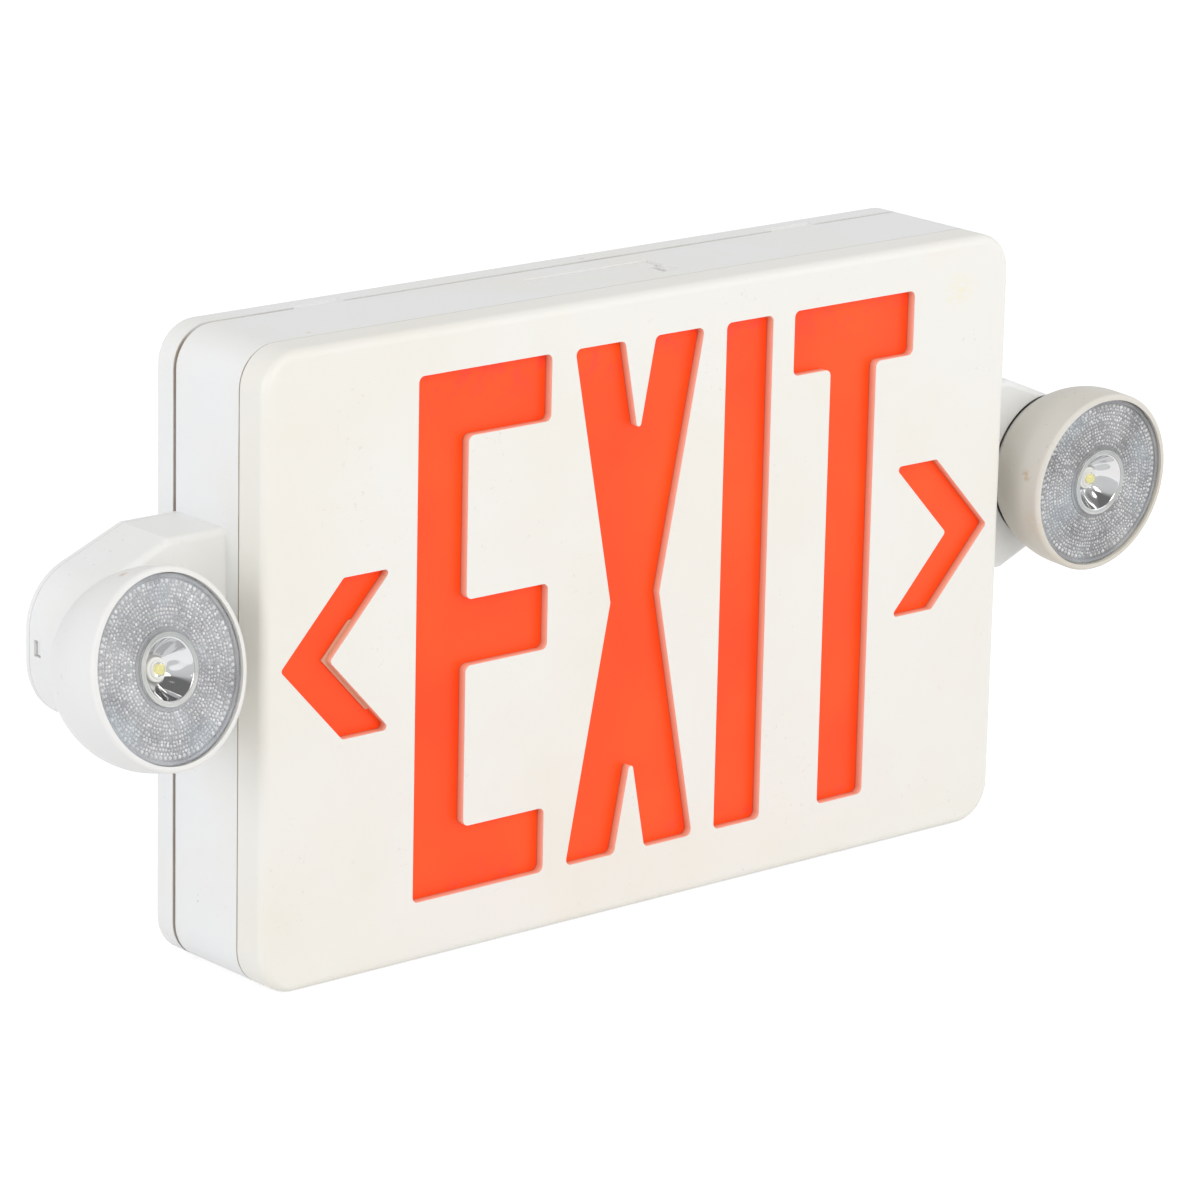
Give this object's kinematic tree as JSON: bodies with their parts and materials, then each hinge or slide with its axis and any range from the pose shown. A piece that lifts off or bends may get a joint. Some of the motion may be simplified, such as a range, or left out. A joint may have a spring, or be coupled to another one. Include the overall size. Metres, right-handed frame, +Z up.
{
  "type": "emergency exit light",
  "caption": "Wall-mounted exit light: red stencil legend with direction chevrons in a moulded housing, and an adjustable emergency lamp head on a short arm at each side.",
  "frame": {"origin": "centre of the two box-screw holes on the flat back face of the housing, which lies against the wall", "axes": "+X to the right as the legend is read, +Y into the wall, +Z up; the legend faces -Y"},
  "size_m": [0.4315, 0.0656, 0.1942],
  "materials": {
    "faceplate_abs": "satin",
    "housing_abs": "satin",
    "head_abs": "satin",
    "red_acrylic": "satin",
    "circuit_board": "satin",
    "transformer_core": "matt",
    "capacitor_sleeve": "satin",
    "relay_case": "satin",
    "terminal_nylon": "satin",
    "battery_sleeve": "gloss",
    "foam": "matt",
    "zinc_steel": "satin",
    "strip_board": "satin",
    "button_abs": "satin",
    "status_lens": "gloss",
    "clear_polycarbonate": "gloss",
    "chromed_reflector": "mirror",
    "lamp_board": "satin",
    "led_phosphor": "satin"
  },
  "bodies": {
    "housing": {"faceplate": "faceplate_abs", "red_panel": "red_acrylic", "frame": "housing_abs", "back_cover": "housing_abs", "canopy_plug": "housing_abs", "charger_board": "circuit_board", "transformer": "transformer_core", "capacitor": "capacitor_sleeve", "relay": "relay_case", "supply_terminal": "terminal_nylon", "battery_pack": "battery_sleeve", "battery_pad": "foam", "battery_strap": "zinc_steel", "light_strip_top": "strip_board", "light_strip_bottom": "strip_board", "test_switch": "relay_case", "status_light": "status_lens", "board_screw_1": "zinc_steel", "board_screw_2": "zinc_steel", "board_screw_3": "zinc_steel", "board_screw_4": "zinc_steel", "strap_screw_1": "zinc_steel", "strap_screw_2": "zinc_steel", "left_arm": "housing_abs", "left_arm_cover": "housing_abs", "right_arm": "housing_abs", "right_arm_cover": "housing_abs"},
    "left_swivel": {"left_swivel_stud": "zinc_steel", "left_swivel_nut": "zinc_steel"},
    "left_head": {"left_head_cup": "head_abs", "left_lamp_lens": "clear_polycarbonate", "left_lamp_optic": "chromed_reflector", "left_lamp_board": "lamp_board", "left_lamp_led": "led_phosphor"},
    "right_swivel": {"right_swivel_stud": "zinc_steel", "right_swivel_nut": "zinc_steel"},
    "right_head": {"right_head_cup": "head_abs", "right_lamp_lens": "clear_polycarbonate", "right_lamp_optic": "chromed_reflector", "right_lamp_board": "lamp_board", "right_lamp_led": "led_phosphor"},
    "button": {"test_button": "button_abs"}
  },
  "joints": [
    {"name": "left_turn", "type": "hinge", "parent": "housing", "child": "left_swivel", "pos_m": [-0.18625, -0.0515, 0.0109], "axis": [0, 1, 0], "range_deg": [-170, 170]},
    {"name": "left_tilt", "type": "hinge", "parent": "left_swivel", "child": "left_head", "pos_m": [-0.18625, -0.0515, 0.0109], "axis": [0.8846, 0, -0.4664], "range_deg": [-5.7, 34.3]},
    {"name": "right_turn", "type": "hinge", "parent": "housing", "child": "right_swivel", "pos_m": [0.18625, -0.0515, 0.0109], "axis": [0, 1, 0], "range_deg": [-170, 170]},
    {"name": "right_tilt", "type": "hinge", "parent": "right_swivel", "child": "right_head", "pos_m": [0.18625, -0.0515, 0.0109], "axis": [0.9863, 0, 0.165], "range_deg": [-23.5, 16.5]},
    {"name": "test_press", "type": "slide", "parent": "housing", "child": "button", "axis": [0, 0, 1], "range_m": [0, 0.002], "stiffness_N_per_m": 400}
  ]
}
